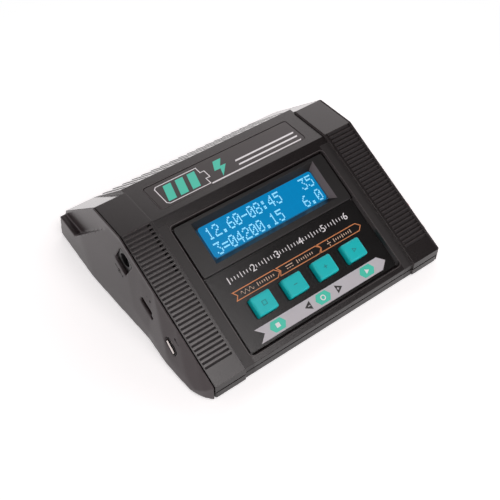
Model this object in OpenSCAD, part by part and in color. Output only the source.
// Balance battery charger: a low wedge-shaped desk charger with a sloping control panel,
// two ribbed rails, separate side plates with the sockets, and the electronics inside.
// Units are millimetres. X is left to right, Y is front to back, Z is up.

/* [Case] */
// Distance between the two side seams
case_w = 120; // [117:1:126]
// Depth of the case, front edge to back edge
case_d = 117; // [114:1:124]
// Height of the rail deck above the ground
case_h = 38.7; // [37.5:0.1:42]
// Height of the front edge of the rails
front_h = 8.3; // [8:0.1:9.5]
// Depth of the sloping panel, seen from above
panel_d = 62.33; // [60:0.5:65]
// Depth of the flat deck behind the panel
deck_d = 20.8; // [19:0.2:23]
// Height of the back edge of the rails
back_h = 10.4; // [9.6:0.1:12]
// Shell wall
wall = 2.2; // [1.8:0.1:2.6]
// Width of each ribbed rail
rail_w = 14.8; // [13.8:0.1:15.8]
// How far the rails stand above the middle section
rail_step = 1.1; // [0.6:0.1:1.3]
// How far the deck of the middle section reaches behind that of the rails
ridge_out = 3.6; // [3:0.1:4.2]
// How far the middle of the front is set back
front_set = 0.7; // [0.3:0.1:1]
// Height of the joint between the shells at the front
seam_z = 4.65; // [4.4:0.05:4.9]
// Visible gap between the shells
seam_gap = 0.7; // [0.4:0.1:0.9]
// Gap between a rail and its side plate
side_gap = 0.35; // [0.2:0.05:0.5]

/* [Rail ribs] */
// Number of grooves on the panel part of each rail
groove_count = 32; // [26:1:36]
// Groove width
groove_w = 0.95; // [0.7:0.05:1.1]
// Groove depth
groove_deep = 0.6; // [0.4:0.1:1]
// Number of grooves of the left rail with a vent at the inner end
vent_count = 12; // [8:1:16]
// Length of a vent
vent_l = 1.1; // [0.8:0.1:1.6]

/* [Back vents] */
// Number of grooves down the back slope
louvre_count = 17; // [14:1:19]
// Width of a groove down the slope
louvre_w = 2.6; // [2.2:0.1:3]
// Depth of a groove down the slope
louvre_deep = 0.5; // [0.3:0.1:0.8]
// Slot width
slot_w = 1.8; // [1.4:0.1:1.9]
// Number of slots over the fan
slot_count = 9; // [5:2:11]

/* [Panel] */
// Distance from a rail to the panel inset
inset_margin = 5; // [4.2:0.2:5.2]
// Distance from the inset to the deck
inset_rear = 5.15; // [4.6:0.05:5.4]
// Distance from the front edge to the inset
inset_front = 2.8; // [2.6:0.1:3]
// Depth of the inset floor below the rails
inset_deep = 3.0; // [2.8:0.1:3.2]
// Thickness of the printed keypad sheet
sheet_t = 0.4; // [0.3:0.05:0.5]
// Height of the display block above the inset floor
block_t = 1.3; // [1:0.1:1.5]
// Distance from the inset's side to the display opening
window_side = 8; // [7.9:0.1:8.4]
// Display opening height
window_l = 19.6; // [19:0.2:19.8]
// Sloping border on each side of the display
lcd_side = 2; // [1.8:0.1:2.4]
// Visible height of the display
lcd_l = 15; // [14:0.2:15.6]
// Sideways place of the display
lcd_x = 1; // [0:0.1:1.2]

/* [Keys] */
// Key width
key_w = 9.8; // [9.2:0.1:10.4]
// Key length
key_l = 8.5; // [8:0.1:8.9]
// Distance between keys
key_pitch = 16; // [15:0.1:16.4]
// How far a key stands above the sheet
key_rise = 3; // [2.4:0.1:3.4]
// Rounding of the upper edge of a key
key_roll = 0.9; // [0.6:0.1:1.1]
// Key travel
key_travel = 0.4; // [0.3:0.05:0.45]

/* [Fan] */
// Fan frame size
fan_size = 30; // [29:1:30]
// Fan frame thickness
fan_t = 8; // [7:0.5:8]
// Number of blades
fan_blades = 7; // [5:1:9]
// Hub diameter
hub_d = 13; // [11:0.5:14]

/* [Ports] */
// Bore of the output sockets
plug_bore = 4; // [4:0.1:4.2]
// Bore of the power jack
jack_bore = 6.3; // [6:0.1:6.5]
// Depth of the power jack bore
jack_deep = 9; // [8:0.5:10]
// Distance from the front edge to the small USB opening, along the slope
usb_place = 23.2; // [22:0.2:24]
// Width of the mains inlet opening
inlet_w = 14.6; // [14:0.2:15]
// Height of the mains inlet opening
inlet_h = 8.4; // [8:0.2:8.6]

/* [Hidden] */
$fn = 48;
sliver = 0.01;
foot_h = 1;
floor_z = foot_h;
floor_t = 2;
floor_top = floor_z + floor_t;
// Side of the rails and of the middle section
side_x = case_w / 2;
mid_x = side_x - rail_w;
mid_y = case_d / 2;
kink_y = panel_d;
panel_angle = atan2(case_h - front_h, panel_d);
panel_l = norm([panel_d, case_h - front_h]);
ridge_y = kink_y + deck_d;
back_angle = atan2(case_h - back_h, case_d - ridge_y);
deck_z = case_h - 1;
back_seam = 6.7;
// Outline of the middle section
mid_front = front_h - rail_step / cos(panel_angle) + front_set * tan(panel_angle);
mid_kink = front_set + (deck_z - mid_front) / tan(panel_angle);
mid_ridge = ridge_y + ridge_out;
mid_angle = atan2(deck_z - back_h, case_d - mid_ridge);
slope_l = (deck_z - back_h) / sin(mid_angle);
rail_line = [[0, seam_z + seam_gap / 2], [0, front_h], [kink_y, case_h], [ridge_y, case_h],
    [case_d, back_h], [case_d, back_seam + seam_gap / 2]];
mid_line = [[front_set, seam_z + seam_gap / 2], [front_set, mid_front], [mid_kink, deck_z],
    [mid_ridge, deck_z], [case_d, back_h], [case_d, back_seam + seam_gap / 2]];
// Heights measured square to the panel, from the rail surface
mid_n = -rail_step;
floor_n = -inset_deep;
sheet_n = floor_n + sheet_t;
block_n = floor_n + block_t;
pad_t = 1.6;
pad_n = floor_n - pad_t;
glass_n = pad_n - 0.3;
board_n = pad_n - 5.2;
board_t = 1.6;
// Panel layout along the slope
inset_w = 2 * (mid_x - inset_margin);
window_w = inset_w - 2 * window_side;
lcd_w = window_w - 2 * lcd_side;
inset_back = panel_l - inset_rear;
inset_slope = 1;
block_front = inset_back - window_l - 5.8;
board_front = 13;
board_back = inset_back + 0.8;
board_w = inset_w + 3.6;
post_x = board_w / 2 - 2.4;
post_y = [board_front + 4, board_back - 5];
window_y = inset_back - inset_slope - 1.6 - window_l / 2;
collar = 0.6;
lcd_hole_gap = 0.3;
keys_x = 0.4;
keys_y = inset_front + 15.7;
key_gap = 0.2;
key_r = 0.8;
flange = 0.9;
flange_t = 0.6;
flange_n = pad_n - 0.15;
stem_n = flange_n - flange_t - 0.1 - key_travel - 0.05;
function key_place(i) = keys_x + (i - 1.5) * key_pitch;
// Rail grooves
groove_first = panel_l - 0.8;
groove_last = 8.2;
groove_pitch = (groove_first - groove_last) / (groove_count - 1);
groove_in = mid_x + 1.4;
groove_out = side_x - 1;
// Deck label
label_y = [mid_kink + 3.8, mid_ridge - 4.8];
label_x = mid_x - 6.9;
label_deep = 0.8;
label_gap = 0.45;
// Side plates
plate_in = side_x - 2;
plate_end = case_d - 2;
plate_base = 0.6;
plate_bottom = 0.5;
tab_y = [30, case_d - 23];
tab_t = 1.6;
// Electronics
main_z = 6;
main_t = 1.6;
main_top = main_z + main_t;
main_x = side_x - 10;
main_y = [36, case_d - 18.4];
main_post = [side_x - 16, 42, case_d - 23];
capacitor_h = deck_z - wall - main_top - 3.9;
foot_x = side_x - 16;
foot_y = [14, case_d - 11];
foot_d = 9;
// Ends of the front and back walls of the lower shell
lip_x = side_x - side_gap;
lip_z = floor_z + 0.3;
// Case screws and their bosses
screw_x = side_x - 9;
screw_y = [5.6, case_d - 15];
boss_top = [front_h + (screw_y[0] - 2.7) * tan(panel_angle) - 0.4,
    case_h - (screw_y[1] + 3 - ridge_y) * tan(back_angle) - 1.25];
hole_top = [front_h - 1.2, boss_top[1] - 5.4];
// Fan
fan_u = slope_l / 2 - 2.3;
fan_n = -wall - 0.1;
duct_r = fan_size / 2 - 1.2;
blade_gap = 0.6;
axle_d = 2;
axle_gap = 0.05;
fan_hole = fan_size / 2 - 3;
slot_l = 2 * (fan_hole - 2.3);
// Left ports, centre along the slope and square to it
jack_at = [panel_l - 7.2, -8.4];
jack_size = [9.1, 8.6];
jack_bore_up = 1.1;
usb_at = [usb_place, -8.5];
usb_size = [7.4, 2.3];
probe_at = [(usb_at[0] + jack_at[0]) / 2 - 0.3, -11.2];
probe_size = [7.9, 2.6];
probe_key = [1.9, 1.5];
port_gap = 0.3;
port_board_x = side_x - 7.6;
port_board_t = [usb_at[0] - 5.7, probe_at[0] + 5.5];
// Right ports
plug_at = [[12, -6.8], [24, -6.8]];
socket_in = mid_x + 2.2;
header_pins = [3, 4, 5, 6, 7];
header_pitch = 2.5;
header_h = 5.8;
header_row = 7.6;
header_n = -7.6;
header_gap = 1.3;
header_end = panel_l + 1.25;
header_front = header_end - 41;
function header_w(pins) = (pins - 1) * header_pitch + 4.8;
function header_step(a, b) = (header_w(a) + header_w(b)) / 2 + header_gap;
header_5 = header_end - header_w(5) / 2;
header_4 = header_5 - header_step(5, 4);
header_3 = header_4 - header_step(4, 3);
header_7 = header_end - 1.1 - header_w(7) / 2;
header_6 = header_7 - header_step(7, 6);
header_at = [[header_3, header_n], [header_4, header_n], [header_5, header_n],
    [header_6, header_n - header_row], [header_7, header_n - header_row]];
header_post_d = header_row - header_h - 0.6;
header_board_x = side_x - 6;
inlet_at = [ridge_y - 5.13, 14.2];
inlet_body = [20, 11];
inlet_deep = 11;

black = [0.11, 0.105, 0.105];
dark = [0.05, 0.05, 0.05];
steel = [0.7, 0.7, 0.72];
turquoise = [0.13, 0.7, 0.7];
board_green = [0.05, 0.25, 0.12];
cream = [0.9, 0.88, 0.8];

// Corner of a wall of thickness t that turns at point b
function turn(a, b, c, t) = let (u = (b - a) / norm(b - a), v = (c - b) / norm(c - b),
    nu = [u.y, -u.x], nv = [v.y, -v.x]) b + t * (nu + nv) / (1 + nu * nv);
// Line parallel to an outline, t inside it
function inside(p, t) = [for (i = [0:len(p) - 1]) i == 0 ? p[0] + [t, 0]
    : i == len(p) - 1 ? p[i] - [t, 0] : turn(p[i - 1], p[i], p[i + 1], t)];
// Outline closed well below the seams
function down(p, z) = concat([[p[0].x, z]], p, [[p[len(p) - 1].x, z]]);

module across(x0, x1) {
    translate([x0, -mid_y, 0]) rotate([90, 0, 90]) linear_extrude(x1 - x0) children();
}
module on_panel() {
    translate([0, -mid_y, front_h]) rotate([panel_angle, 0, 0]) children();
}
module on_back() {
    translate([0, mid_ridge - mid_y, deck_z]) rotate([-mid_angle, 0, 0]) children();
}
module both() {
    children();
    mirror([1, 0, 0]) children();
}
module block(x0, x1, y0, y1, z0, z1) {
    translate([x0, y0, z0]) cube([x1 - x0, y1 - y0, z1 - z0]);
}
module round_rect(x0, x1, y0, y1, r) {
    translate([x0 + r, y0]) square([x1 - x0 - 2 * r, y1 - y0]);
    translate([x0, y0 + r]) square([x1 - x0, y1 - y0 - 2 * r]);
    for (x = [x0 + r, x1 - r], y = [y0 + r, y1 - r]) translate([x, y]) circle(r);
}
module round_block(x0, x1, y0, y1, z0, z1, r) {
    translate([0, 0, z0]) linear_extrude(z1 - z0) round_rect(x0, x1, y0, y1, r);
}
// Block whose four sides slope; "taper" is how much smaller each side is at the bottom
module tapered(x0, x1, y0, y1, z0, z1, taper) {
    intersection() {
        translate([0, y1 + 1, 0]) rotate([90, 0, 0]) linear_extrude(y1 - y0 + 2)
            polygon([[x0 + taper, z0], [x1 - taper, z0], [x1, z1], [x0, z1]]);
        translate([x0 - 1, 0, 0]) rotate([90, 0, 90]) linear_extrude(x1 - x0 + 2)
            polygon([[y0 + taper, z0], [y1 - taper, z0], [y1, z1], [y0, z1]]);
    }
}
module rod(d, z0, z1) {
    translate([0, 0, z0]) cylinder(d = d, h = z1 - z0);
}

// ---- shells ----
module shell_band(line) {
    difference() {
        polygon(line);
        polygon(down(inside(line, wall), 0));
    }
}
module shell_web(line) {
    difference() {
        polygon(line);
        polygon(down(inside(rail_line, wall + 2.4), 0));
    }
}
module groove_cuts() {
    on_panel() for (i = [0:groove_count - 1]) {
        y = groove_first - i * groove_pitch - groove_w / 2;
        block(groove_in, groove_out, y, y + groove_w, -groove_deep, 1);
    }
}
module vent_cuts() {
    on_panel() for (i = [0:vent_count - 1]) {
        y = groove_first - i * groove_pitch - groove_w / 2;
        block(groove_in + 0.3, groove_in + 0.3 + vent_l, y, y + groove_w, -wall - 1, 0);
    }
}
module louvre_cuts() {
    pitch = (2 * mid_x - 1.4) / louvre_count;
    on_back() for (i = [0:louvre_count - 1]) {
        x = (i - (louvre_count - 1) / 2) * pitch;
        block(x - louvre_w / 2, x + louvre_w / 2, 2.5, slope_l + 5, -louvre_deep, 4);
        if (abs(i - (louvre_count - 1) / 2) < slot_count / 2)
            block(x - slot_w / 2, x + slot_w / 2, fan_u - slot_l / 2, fan_u + slot_l / 2, -wall - 2, 0);
    }
}
module top_shell() color(black) difference() {
    union() {
        both() across(mid_x, side_x - side_gap) shell_band(rail_line);
        across(-mid_x, mid_x) shell_band(mid_line);
        both() across(mid_x, mid_x + 1.6) shell_web(rail_line);
        both() across(mid_x - 1.6, mid_x) shell_web(mid_line);
        on_panel() {
            block(-inset_w / 2 - 2.3, inset_w / 2 + 2.3, 2.2, inset_back + 2.4, pad_n, mid_n - 0.4);
            for (x = [-post_x, post_x], y = post_y)
                translate([x, y, 0]) rod(4.6, board_n, pad_n + 1);
        }
        for (x = [-screw_x, screw_x]) {
            translate([x, screw_y[0] - mid_y, 0]) rod(5.4, floor_top + 1.6, boss_top[0]);
            translate([x, screw_y[1] - mid_y, 0]) rod(6, floor_top + 1.6, boss_top[1]);
        }
    }
    both() groove_cuts();
    mirror([1, 0, 0]) vent_cuts();
    louvre_cuts();
    // recess for the deck label
    translate([0, -mid_y, 0])
        round_block(-label_x, label_x, label_y[0], label_y[1], deck_z - label_deep, deck_z + 1, 1.2);
    on_panel() {
        intersection() {
            tapered(-inset_w / 2, inset_w / 2, inset_front, inset_back, floor_n, mid_n,
                inset_slope);
            round_block(-inset_w / 2, inset_w / 2, inset_front, inset_back, floor_n - 1, mid_n + 1, 2.4);
        }
        round_block(-inset_w / 2, inset_w / 2, inset_front, inset_back, mid_n - sliver, 3, 2.4);
        block(lcd_x - window_w / 2 - collar - lcd_hole_gap, lcd_x + window_w / 2 + collar + lcd_hole_gap,
            window_y - window_l / 2 - collar - lcd_hole_gap,
            window_y + window_l / 2 + collar + lcd_hole_gap, pad_n - 1, floor_n + 1);
        for (i = [0:3]) translate([key_place(i), keys_y, 0])
            round_block(-key_w / 2 - key_gap, key_w / 2 + key_gap, -key_l / 2 - key_gap,
                key_l / 2 + key_gap, pad_n - 1, floor_n + 1, key_r + key_gap);
        for (x = [-post_x, post_x], y = post_y) translate([x, y, 0]) rod(1.8, board_n - 1, pad_n + 0.8);
    }
    for (x = [-screw_x, screw_x], i = [0, 1])
        translate([x, screw_y[i] - mid_y, 0]) rod(2.4, floor_top, hole_top[i]);
    on_back() for (x = [-fan_hole, fan_hole], y = [-fan_hole, fan_hole])
        translate([x, fan_u + y, 0]) rod(2.4, -wall - 1, -1.25);
}

module bottom_shell() color(black) difference() {
    union() {
        translate([0, -mid_y, 0]) {
            block(-plate_in + 0.3, plate_in - 0.3, front_set, case_d - 1, floor_z, floor_top);
            // front and back walls, with rounded corners under the rails
            both() block(mid_x, lip_x - 2, 0, wall, lip_z, seam_z - seam_gap / 2);
            both() round_block(lip_x - 6, lip_x, 0, wall, lip_z, seam_z - seam_gap / 2, 1);
            block(-mid_x, mid_x, front_set, front_set + wall, floor_z, seam_z - seam_gap / 2);
            block(-lip_x, lip_x, case_d - wall, case_d, lip_z, back_seam - seam_gap / 2);
            both() block(plate_in - 1.8, plate_in - 0.3, wall, tab_y[0] - 5, floor_z, floor_top + 0.6);
            for (x = [-screw_x, screw_x], y = screw_y)
                translate([x, y, 0]) rod(6, floor_top - 1, floor_top + 1.6);
            for (x = [-main_post[0], main_post[0]], y = [main_post[1], main_post[2]])
                translate([x, y, 0]) rod(6.4, floor_top - 1, main_z);
            // ribs that stiffen the floor
            for (y = [24, 66]) block(-38, 38, y, y + 1.4, floor_top - sliver, floor_top + 1.2);
        }
    }
    for (x = [-screw_x, screw_x], y = screw_y) translate([x, y - mid_y, 0]) {
        rod(2.7, 0, 6);
        rod(4.8, 0, floor_z + 1.3);
    }
    for (x = [-main_post[0], main_post[0]], y = [main_post[1], main_post[2]])
        translate([x, y - mid_y, 0]) rod(2, floor_top - 0.6, main_z + 1);
    for (x = [-foot_x, foot_x], y = foot_y) translate([x, y - mid_y, 0]) rod(foot_d + 0.4, 0, floor_z + 0.4);
    // air intake slots under the boards
    for (x = [-24:6:24]) translate([0, -mid_y, 0])
        round_block(x - 1, x + 1, 72, 92, 0, floor_top + 2, 0.9);
}

// ---- side plates ----
// Cross-sections of a plate, front to back: [distance from the front edge, height of the top edge,
// how far its foot stands out, how far the edge above the foot stands out, height of that edge]
sections = [[-1, front_h - tan(panel_angle), 4.4, 4.2, 0.7], [12, front_h + 12 * tan(panel_angle), 5.5, 4.6, 4.6],
    [25, front_h + 25 * tan(panel_angle), 6, 5.3, 4.7], [40, front_h + 40 * tan(panel_angle), 4.8, 4.4, 5.6],
    [50, front_h + 50 * tan(panel_angle), 5.2, 4.35, 9], [kink_y, case_h, 5.7, 4.8, 8.4],
    [ridge_y, case_h, 6.3, 5.4, 6.9], [plate_end + 0.5, case_h, 4.6, 4.2, 5]];
recess = [[kink_y + 6.7, case_h + 5], [kink_y + 6.7, case_h], [plate_end - 15.1, back_h + 0.4],
    [case_d + 5, back_h + 0.4], [case_d + 5, case_h + 5]];
plate_line = [[0.2, plate_bottom + 0.4], [0.2, front_h], [kink_y, case_h], [ridge_y, case_h],
    [plate_end, back_h + (case_d - plate_end) * tan(back_angle)], [plate_end, plate_bottom],
    [0.8, plate_bottom]];
module section(p) {
    translate([0, p[0] - mid_y + sliver, 0]) rotate([90, 0, 0]) linear_extrude(sliver)
        polygon([[side_x, plate_bottom], [side_x + p[2], plate_bottom], [side_x + p[3], p[4]],
            [side_x + side_gap, p[1]], [side_x, p[1]]]);
}
module plate_face() {
    for (i = [1:len(sections) - 1]) hull() {
        section(sections[i - 1]);
        section(sections[i]);
    }
}
module side_plate() {
    intersection() {
        across(side_x, side_x + 8) difference() {
            polygon(plate_line);
            polygon(recess);
        }
        plate_face();
        // the front corner is rounded off
        translate([0, -mid_y, -1]) linear_extrude(case_h + 5) polygon([[side_x - 2, 0],
            [side_x + 0.35, 0.2], [side_x + 2.7, 3], [side_x + 3.7, 4.9], [side_x + 4.6, 7.2],
            [side_x + 5.3, 9.6], [side_x + 7, 18], [side_x + 7, case_d + 1], [side_x - 2, case_d + 1]]);
    }
    across(side_x, side_x + plate_base) polygon(plate_line);
    across(plate_in, side_x + sliver) polygon(down(inside(rail_line, wall + 0.15), floor_z));
    // tabs that rest on the floor of the case
    for (y = tab_y) translate([0, -mid_y, 0])
        block(plate_in - 6, plate_in + 1, y - 4, y + 4, floor_top, floor_top + tab_t);
}
// Placed on a side plate: local X goes up the slope, local Y square to it, local Z outwards
module on_right(at) {
    on_panel() translate([0, at[0], at[1]]) rotate([90, 0, 90]) children();
}
module on_left(at) {
    mirror([1, 0, 0]) on_right(at) children();
}
module side_block(w, h, z0, z1, r = 0.4) {
    round_block(-w / 2, w / 2, -h / 2, h / 2, z0, z1, r);
}
module left_plate() color(black) difference() {
    union() {
        mirror([1, 0, 0]) side_plate();
        on_left([(usb_at[0] + probe_at[0]) / 2 - 0.6, -10]) rod(3, port_board_x, plate_in + 1);
    }
    on_left(jack_at) side_block(jack_size[0], jack_size[1], plate_in - 8, 80, 0.2);
    on_left(probe_at) {
        side_block(probe_size[0], probe_size[1], plate_in - 8, 80, 0.2);
        // key at the lower end of the opening
        block(-probe_size[0] / 2 - probe_key[0], 0, -probe_size[1] / 2, probe_key[1] - probe_size[1] / 2,
            plate_in - 8, 80);
    }
    on_left(usb_at) side_block(usb_size[0] + 2 * port_gap, usb_size[1] + 2 * port_gap, plate_in - 8, 80, 1.3);
}
module right_plate() color(black) difference() {
    union() {
        side_plate();
        for (t = [1.6, 19.6, 39.6]) on_right([header_end - t, header_n - header_row / 2])
            rod(header_post_d, header_board_x, plate_in + 1);
    }
    for (at = plug_at) on_right(at) {
        rod(7.3, plate_in - 8, 80);
        rod(9.3, side_x + 1, 80);
    }
    for (i = [0:4]) on_right(header_at[i])
        side_block(header_w(header_pins[i]) + port_gap, header_h + port_gap, plate_in - 8, 80);
    translate([0, inlet_at[0] - mid_y, inlet_at[1]]) rotate([90, 0, 90])
        side_block(inlet_body[0] + port_gap, inlet_body[1] + port_gap, plate_in - 8, 80, 1);
}

// ---- panel ----
module deck_label() color(black) translate([0, -mid_y, 0]) {
    round_block(-label_x + label_gap, label_x - label_gap, label_y[0] + label_gap,
        label_y[1] - label_gap, deck_z - label_deep, deck_z - 0.1, 1);
}
module keypad_sheet() color(dark) on_panel() difference() {
    round_block(-inset_w / 2 + inset_slope + 0.25, inset_w / 2 - inset_slope - 0.25,
        inset_front + inset_slope + 0.25, block_front - 0.15, floor_n, sheet_n, 1);
    for (i = [0:3]) translate([key_place(i), keys_y, 0])
        round_block(-key_w / 2 - key_gap, key_w / 2 + key_gap, -key_l / 2 - key_gap,
            key_l / 2 + key_gap, floor_n - 1, sheet_n + 1, key_r + key_gap);
}
module display_block() color(black) on_panel() {
    difference() {
        union() {
            intersection() {
                round_block(-inset_w / 2 + inset_slope + 0.1, inset_w / 2 - inset_slope - 0.1,
                    block_front, inset_back - inset_slope - 0.1, floor_n, block_n, 1.4);
                // rounded front edge of the block
                union() {
                    block(-inset_w, inset_w, block_front, inset_back, floor_n, block_n - 0.5);
                    block(-inset_w, inset_w, block_front + 0.5, inset_back, floor_n, block_n);
                    translate([-inset_w, block_front + 0.5, block_n - 0.5]) rotate([0, 90, 0])
                        cylinder(r = 0.5, h = 2 * inset_w);
                }
            }
            block(lcd_x - window_w / 2 - collar, lcd_x + window_w / 2 + collar,
                window_y - window_l / 2 - collar, window_y + window_l / 2 + collar, glass_n, floor_n + 0.5);
        }
        tapered(lcd_x - window_w / 2, lcd_x + window_w / 2, window_y - window_l / 2,
            window_y + window_l / 2, glass_n, block_n, (window_l - lcd_l) / 2);
        block(lcd_x - window_w / 2, lcd_x + window_w / 2, window_y - window_l / 2,
            window_y + window_l / 2, block_n - sliver, block_n + 1);
        block(lcd_x - lcd_w / 2, lcd_x + lcd_w / 2, window_y - lcd_l / 2, window_y + lcd_l / 2,
            glass_n - 1, block_n);
    }
}
module key(i) color(turquoise) on_panel() translate([key_place(i), keys_y, 0]) {
    top = sheet_n + key_rise;
    side = top - key_roll;
    round_block(-key_w / 2, key_w / 2, -key_l / 2, key_l / 2, flange_n - sliver, side, key_r);
    // the edge of the cap rolls over in steps
    for (a = [22.5:22.5:90]) {
        w = key_w / 2 - key_roll * (1 - cos(a - 11.25));
        l = key_l / 2 - key_roll * (1 - cos(a - 11.25));
        round_block(-w, w, -l, l, side - 0.1, side + key_roll * sin(a), key_r);
    }
    block(-key_w / 2 - flange, key_w / 2 + flange, -key_l / 2 - flange, key_l / 2 + flange,
        flange_n - flange_t, flange_n);
    rod(3, flange_n - flange_t - 0.1, flange_n);
}
module key_1() key(0);
module key_2() key(1);
module key_3() key(2);
module key_4() key(3);

module screen(w, l, z0, z1) {
    block(lcd_x - w / 2, lcd_x + w / 2, window_y - l / 2, window_y + l / 2, z0, z1);
}
module display_glass() color([0.05, 0.45, 0.75]) on_panel()
    screen(lcd_w + 7.6, lcd_l + 6.6, glass_n - 1.1, glass_n);
module display_frame() color(steel) on_panel() difference() {
    screen(lcd_w + 10.4, lcd_l + 9.2, board_n, glass_n - 0.35);
    screen(lcd_w + 7.8, lcd_l + 6.8, glass_n - 1.2, glass_n + 1);
    screen(lcd_w + 3.6, lcd_l + 3, board_n + 1, glass_n);
}
module control_board() color(board_green) on_panel() difference() {
    block(-board_w / 2, board_w / 2, board_front, board_back, board_n - board_t, board_n);
    for (x = [-post_x, post_x], y = post_y) translate([x, y, 0]) rod(2.4, board_n - 5, 5);
}
module board_screws() color(steel) on_panel()
    for (x = [-post_x, post_x], y = post_y) translate([x, y, 0]) {
        rod(1.7, board_n - board_t - sliver, pad_n);
        rod(3.6, board_n - board_t - 1.2, board_n - board_t);
    }
module key_switches() color(dark) on_panel()
    for (i = [0:3]) translate([key_place(i), keys_y, 0]) {
        block(-3, 3, -3, 3, board_n, stem_n - 0.7);
        rod(3.4, stem_n - 0.8, stem_n);
    }

// ---- electronics ----
module on_main() translate([0, -mid_y, main_top]) children();
module main_board() color(board_green) translate([0, -mid_y, 0]) difference() {
    block(-main_x, main_x, main_y[0], main_y[1], main_z, main_top);
    for (x = [-main_post[0], main_post[0]], y = [main_post[1], main_post[2]])
        translate([x, y, 0]) rod(2.7, main_z - 1, main_top + 1);
}
module main_screws() color(steel) translate([0, -mid_y, 0])
    for (x = [-main_post[0], main_post[0]], y = [main_post[1], main_post[2]])
        translate([x, y, 0]) {
            rod(1.9, floor_top, main_top + sliver);
            rod(4.4, main_top, main_top + 1.5);
        }
module transformer() color(cream) on_main() translate([29 - main_x, 72, 0]) {
    block(-12, 12, -9, 9, 0, 2.4);
    block(-12, 12, -5, 5, 2.4 - sliver, 6.4);
    block(-12, 12, -5, 5, 12.6, 16.4);
    block(-12, -8, -5, 5, 6, 13);
    block(8, 12, -5, 5, 6, 13);
    translate([-8.01, 0, 9.5]) rotate([0, 90, 0]) cylinder(d = 13.5, h = 16.02);
}
module mains_capacitor() color([0.1, 0.12, 0.25]) on_main() translate([8.5 - main_x, 74, 0]) difference() {
    rod(13, 0, capacitor_h);
    translate([0, 0, capacitor_h - 0.4]) difference() {
        cylinder(d = 10, h = 2);
        translate([0, 0, -1]) cylinder(d = 8.4, h = 4);
    }
}
module output_capacitors() color([0.1, 0.12, 0.25]) on_main()
    for (x = [31, 22, 13]) translate([main_x - x, 55, 0]) rod(7.4, 0, 9);
module inductor() color([0.6, 0.32, 0.12]) on_main() translate([26 - main_x, 54, 5.35]) rotate([90, 0, 0])
    difference() {
        rod(10.6, -3.4, 3.4);
        rod(4.8, -4, 4);
    }
module heatsink() color([0.6, 0.6, 0.62]) on_main() translate([main_x - 33, 67, 0]) {
    block(0, 21, 0, 16, 0, 3);
    for (i = [0:6]) block(i * 3.3, i * 3.3 + 1.2, 0, 16, 3 - sliver, 17);
}
module processor() color(dark) on_main() translate([0, 48, 0]) {
    block(-6, 6, -6, 6, 0.1, 1.5);
    for (i = [-5:5], a = [0, 90, 180, 270]) rotate(a) translate([i, 0, 0])
        block(-0.2, 0.2, 5.9, 7, 0, 0.5);
}
module fuse() color(steel) on_main() translate([main_x - 6, 47, 0]) {
    for (y = [0, 13.6]) translate([0, y, 0]) block(-2.9, 2.9, 0, 5, 0, 1.2);
    translate([0, 0, 3.4]) rotate([-90, 0, 0]) cylinder(d = 4.8, h = 18.6);
}

module on_fan() on_back() translate([0, fan_u, fan_n - fan_t]) children();
module fan_frame() color(dark) on_fan() difference() {
    round_block(-fan_size / 2, fan_size / 2, -fan_size / 2, fan_size / 2, 0, fan_t, 2);
    rod(2 * duct_r, 1, fan_t + 1);
    // openings between the motor plate and the rim
    for (a = [0:90:270]) rotate(a) difference() {
        intersection() {
            rod(2 * duct_r, -1, 2);
            block(1.1, 20, 1.1, 20, -2, 3);
        }
        rod(hub_d + 1.5, -2, 3);
    }
    rod(axle_d + 2 * axle_gap, -1, 2);
    for (x = [-fan_hole, fan_hole], y = [-fan_hole, fan_hole]) translate([x, y, 0]) rod(2.7, -1, fan_t + 1);
}
module fan_rotor() color([0.14, 0.14, 0.15]) on_fan() {
    rod(hub_d, 1.4, fan_t - 0.6);
    rod(axle_d, 0.2, 1.5);
    intersection() {
        difference() {
            rod(2 * (duct_r - blade_gap), 1.6, fan_t - 0.8);
            rod(hub_d - 1, 1, fan_t);
        }
        for (i = [0:fan_blades - 1]) rotate(i * 360 / fan_blades)
            translate([0, 0, fan_t / 2 + 0.4]) rotate([42, 0, 0]) block(0, 20, -6, 6, -0.5, 0.5);
    }
}
module fan_screws() color(steel) on_fan()
    for (x = [-fan_hole, fan_hole], y = [-fan_hole, fan_hole]) translate([x, y, 0]) {
        rod(2.2, -sliver, fan_t + 0.9);
        rod(4.2, -1.3, 0);
    }

// ---- left ports ----
module power_jack() color(dark) on_left(jack_at) {
    difference() {
        side_block(jack_size[0] - port_gap, jack_size[1] - port_gap, side_x - 12.6, side_x + 1, 0.3);
        translate([0, jack_bore_up, 0]) rod(jack_bore, side_x + 1 - jack_deep, 80);
    }
    translate([0, jack_bore_up, 0]) rod(2, side_x - jack_deep, side_x - 3.4);
}
module probe_port() color(dark) on_left(probe_at) {
    difference() {
        side_block(probe_size[0] + 2, probe_size[1] + 2, port_board_x, plate_in - port_gap, 0.3);
        side_block(probe_size[0], probe_size[1], port_board_x + 1.5, 80, 0.2);
    }
}
module probe_pins() color([0.75, 0.6, 0.3]) on_left(probe_at)
    for (i = [-1:1]) translate([i * header_pitch, 0.4, 0])
        block(-0.32, 0.32, -0.32, 0.32, port_board_x + 1.5, side_x + 1.7);
module usb_port() color(steel) on_left(usb_at) {
    difference() {
        side_block(usb_size[0], usb_size[1], port_board_x, side_x + 1.5, 0.5);
        side_block(usb_size[0] - 0.7, usb_size[1] - 0.7, side_x - 3, 80, 0.3);
    }
    block(-2.5, 2.5, 0.05, 0.65, side_x - 3 - sliver, side_x + 2.3);
}
module port_board() color(board_green) on_left([0, -10])
    block(port_board_t[0], port_board_t[1], -3.6, 3.4, port_board_x - 1.6, port_board_x);

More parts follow.
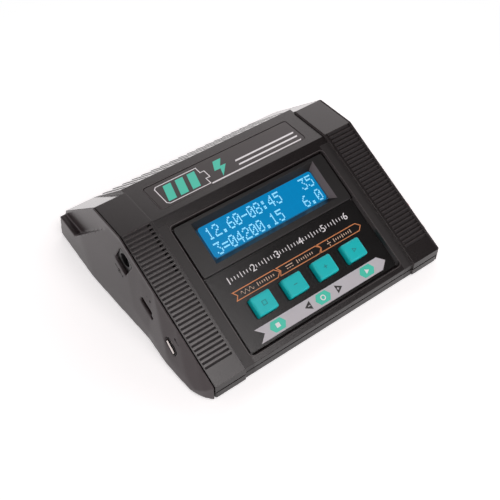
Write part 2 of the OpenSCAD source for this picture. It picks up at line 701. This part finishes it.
// ---- right ports ----
module output_socket(at) on_right(at) difference() {
    union() {
        rod(7, socket_in, side_x + 2);
        rod(9, side_x + 1, side_x + 2.2);
    }
    rod(6, socket_in + 1.2, 80);
}
module output_red() color([0.7, 0.05, 0.05]) output_socket(plug_at[1]);
module output_black() color(dark) output_socket(plug_at[0]);
module output_sleeves() color([0.75, 0.6, 0.3]) for (at = plug_at) on_right(at) difference() {
    rod(5.9, socket_in + 1.2, side_x + 1.8);
    rod(plug_bore, socket_in + 2.2, 80);
}
module header_shroud(pins) difference() {
    side_block(header_w(pins), header_h, header_board_x, side_x + 1.4, 0.3);
    side_block(header_w(pins) - 1.6, header_h - 1.5, header_board_x + 1.8, 80, 0.3);
    // two latch slots
    for (x = [-1.6, 1.6]) block(x - 0.5, x + 0.5, header_h / 2 - 1, header_h, header_board_x + 2.5, 80);
}
module balance_headers() color(cream) for (i = [0:4]) on_right(header_at[i]) header_shroud(header_pins[i]);
module balance_pins() color([0.75, 0.6, 0.3]) for (i = [0:4]) on_right(header_at[i])
    for (k = [0:header_pins[i] - 1]) translate([(k - (header_pins[i] - 1) / 2) * header_pitch, -0.3, 0])
        block(-0.32, 0.32, -0.32, 0.32, header_board_x + 1.8, side_x - 0.6);
module header_board() color(board_green) on_right([0, header_n - header_row / 2])
    block(header_front, header_end, -7.2, 7.2, header_board_x - 1.6, header_board_x);
module on_inlet() translate([0, inlet_at[0] - mid_y, inlet_at[1]]) rotate([90, 0, 90]) children();
module mains_inlet() color(dark) on_inlet() difference() {
    side_block(inlet_body[0], inlet_body[1], side_x - 18, side_x + 3.4, 1);
    // figure-of-eight mouth
    for (x = [-1, 1]) translate([x * (inlet_w - inlet_h) / 2, 0, 0]) rod(inlet_h, side_x - inlet_deep, 80);
    block(-(inlet_w - inlet_h) / 2, (inlet_w - inlet_h) / 2, -inlet_h / 2 + 0.6, inlet_h / 2 - 0.6,
        side_x - inlet_deep, 80);
}
module inlet_pins() color(steel) on_inlet() for (x = [-3.1, 3.1]) translate([x, 0, 0])
    rod(2.4, side_x - inlet_deep, side_x - 2.2);

module case_screws() color(steel) for (x = [-screw_x, screw_x], i = [0, 1])
    translate([x, screw_y[i] - mid_y, 0]) {
        rod(4.4, floor_z + 0.1, floor_z + 1.3);
        rod(2.3, floor_z + 1.3 - sliver, hole_top[i] - (i == 0 ? 0.4 : 1));
    }
module feet() color([0.08, 0.08, 0.08]) for (x = [-foot_x, foot_x], y = foot_y)
    translate([x, y - mid_y, 0]) rod(foot_d, 0, floor_z + 0.4);

top_shell();
bottom_shell();
left_plate();
right_plate();
deck_label();
keypad_sheet();
display_block();
key_1();
key_2();
key_3();
key_4();
display_glass();
display_frame();
control_board();
board_screws();
key_switches();
main_board();
main_screws();
transformer();
mains_capacitor();
output_capacitors();
inductor();
heatsink();
processor();
fuse();
fan_frame();
fan_rotor();
fan_screws();
power_jack();
probe_port();
probe_pins();
usb_port();
port_board();
output_red();
output_black();
output_sleeves();
balance_headers();
balance_pins();
header_board();
mains_inlet();
inlet_pins();
case_screws();
feet();
